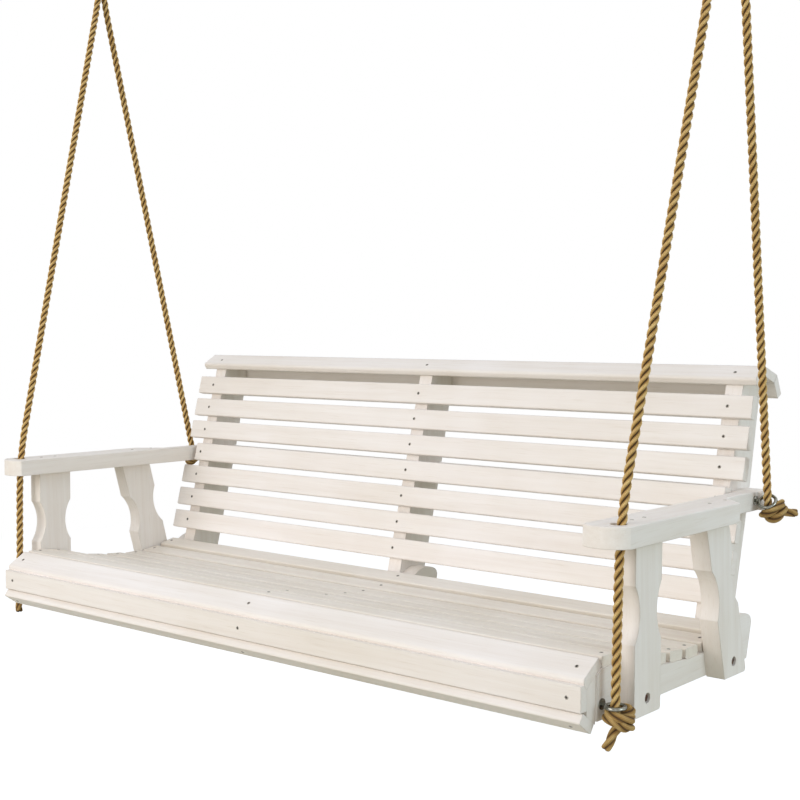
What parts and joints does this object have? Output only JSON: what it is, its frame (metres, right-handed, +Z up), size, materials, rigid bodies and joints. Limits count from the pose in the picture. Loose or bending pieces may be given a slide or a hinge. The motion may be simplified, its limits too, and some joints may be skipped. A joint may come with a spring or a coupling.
{
  "type": "porch swing seat",
  "caption": "Slatted white wooden porch swing bench with rolled front and capped back, arms on shaped posts, hung by ropes from ceiling hooks.",
  "frame": {"origin": "on the ceiling, halfway between the two hook plates, at the middle of their screw pattern", "axes": "+Z up, +X along the bench to the sitter's left, +Y from the front of the seat to its back"},
  "size_m": [1.718, 0.7377, 1.6178],
  "materials": {
    "white_wood": "white paint on sawn boards, satin",
    "rope": "three-strand laid rope, tan",
    "twine": "tarred twine",
    "zinc": "bright zinc plate",
    "bolt_steel": "zinc plate, dull",
    "hook_steel": "black powder coat"
  },
  "bodies": {
    "ceiling_fittings": {"ceiling_hook_left": "hook_steel", "ceiling_hook_right": "hook_steel", "ceiling_plate_left": "hook_steel", "ceiling_plate_right": "hook_steel"},
    "swing": {"arm_left": "white_wood", "arm_post_front_left": "white_wood", "arm_post_front_right": "white_wood", "arm_post_rear_left": "white_wood", "arm_post_rear_right": "white_wood", "arm_right": "white_wood", "back_bolts": "bolt_steel", "back_slat_1": "white_wood", "back_slat_2": "white_wood", "back_slat_3": "white_wood", "back_slat_4": "white_wood", "back_slat_5": "white_wood", "back_slat_6": "white_wood", "back_slat_7": "white_wood", "back_upright_centre": "white_wood", "back_upright_left": "white_wood", "back_upright_right": "white_wood", "cap_front_board": "white_wood", "cap_rear_board": "white_wood", "cap_top_board": "white_wood", "cross_rail": "white_wood", "eye_bolt_front_left": "zinc", "eye_bolt_front_right": "zinc", "eye_bolt_nuts": "zinc", "eye_bolt_rear_left": "zinc", "eye_bolt_rear_right": "zinc", "nose_block_centre": "white_wood", "nose_block_left": "white_wood", "nose_block_right": "white_wood", "post_bolts": "bolt_steel", "roll_bottom_board": "white_wood", "roll_front_board": "white_wood", "roll_top_board": "white_wood", "rope_knot_front_left": "rope", "rope_knot_front_right": "rope", "rope_knot_rear_left": "rope", "rope_knot_rear_right": "rope", "rope_left": "rope", "rope_right": "rope", "rope_seizing_left": "twine", "rope_seizing_right": "twine", "seat_rail_centre": "white_wood", "seat_rail_left": "white_wood", "seat_rail_right": "white_wood", "seat_slat_1": "white_wood", "seat_slat_2": "white_wood", "seat_slat_3": "white_wood", "seat_slat_4": "white_wood", "seat_slat_5": "white_wood", "seat_slat_6": "white_wood", "seat_slat_7": "white_wood", "seat_slat_8": "white_wood", "thimble_left": "zinc", "thimble_right": "zinc"}
  },
  "joints": [
    {"name": "swing_hinge", "type": "hinge", "parent": "ceiling_fittings", "child": "swing", "pos_m": [0, 0, -0.0721], "axis": [1, 0, 0], "range_deg": [-30, 30]}
  ]
}
